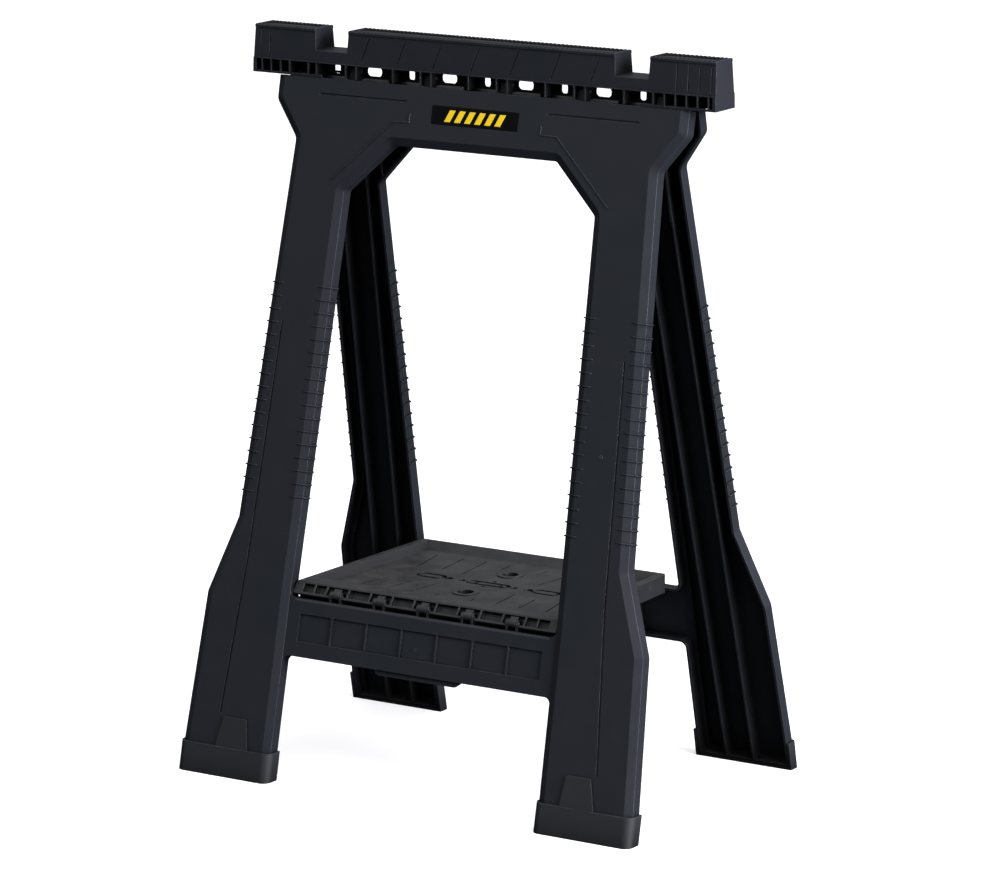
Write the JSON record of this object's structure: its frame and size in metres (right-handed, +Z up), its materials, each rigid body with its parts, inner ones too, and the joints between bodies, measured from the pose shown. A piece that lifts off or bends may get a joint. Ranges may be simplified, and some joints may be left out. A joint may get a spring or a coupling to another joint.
{
  "type": "folding sawhorse",
  "caption": "Free-standing folding plastic sawhorse: toothed top beam with timber notches, hinged A-frame legs and a fold-up tool shelf that spreads them.",
  "frame": {"origin": "on the floor, under the middle of the top beam, with the legs open", "axes": "+X along the top beam, +Y towards the rear frame that the shelf latches to, +Z up"},
  "size_m": [0.57, 0.3658, 0.7885],
  "materials": {
    "frame_plastic": "fine moulded texture, charcoal black",
    "shelf_plastic": "fine moulded texture, charcoal black, lightly scuffed",
    "foot_cap": "moulded plastic, worn at the sole",
    "badge": "satin black plate with plain yellow bars",
    "hinge_pin": "plain steel"
  },
  "bodies": {
    "top": {"top_beam": "frame_plastic", "front_hinge_pin_1": "hinge_pin", "front_hinge_pin_2": "hinge_pin", "front_hinge_pin_3": "hinge_pin", "front_hinge_pin_4": "hinge_pin", "front_hinge_pin_5": "hinge_pin", "rear_hinge_pin_1": "hinge_pin", "rear_hinge_pin_2": "hinge_pin", "rear_hinge_pin_3": "hinge_pin", "rear_hinge_pin_4": "hinge_pin", "rear_hinge_pin_5": "hinge_pin"},
    "front_frame": {"front_leg_frame": "frame_plastic", "foot_front_left": "foot_cap", "foot_front_right": "foot_cap", "front_badge_plate": "badge", "shelf_hinge_pin_1": "hinge_pin", "shelf_hinge_pin_2": "hinge_pin", "shelf_hinge_pin_3": "hinge_pin", "shelf_hinge_pin_4": "hinge_pin", "shelf_hinge_pin_5": "hinge_pin"},
    "rear_frame": {"rear_leg_frame": "frame_plastic", "foot_rear_left": "foot_cap", "foot_rear_right": "foot_cap", "rear_badge_plate": "badge"},
    "shelf": {"shelf_tray": "shelf_plastic", "shelf_latch_left": "shelf_plastic", "shelf_latch_right": "shelf_plastic"}
  },
  "joints": [
    {"name": "front_fold", "type": "hinge", "parent": "top", "child": "front_frame", "pos_m": [0, -0.009, 0.745], "axis": [1, 0, 0], "range_deg": [0, 12.3]},
    {"name": "rear_fold", "type": "hinge", "parent": "top", "child": "rear_frame", "pos_m": [0, 0.009, 0.745], "axis": [1, 0, 0], "range_deg": [-12.3, 0]},
    {"name": "shelf_lift", "type": "hinge", "parent": "front_frame", "child": "shelf", "pos_m": [0, -0.1257, 0.202], "axis": [1, 0, 0], "range_deg": [0, 77.7]}
  ],
  "couplings": [
    {"joint": "rear_fold", "follows": "front_fold", "ratio": -1},
    {"joint": "shelf_lift", "follows": "front_fold", "ratio": 6.317}
  ]
}
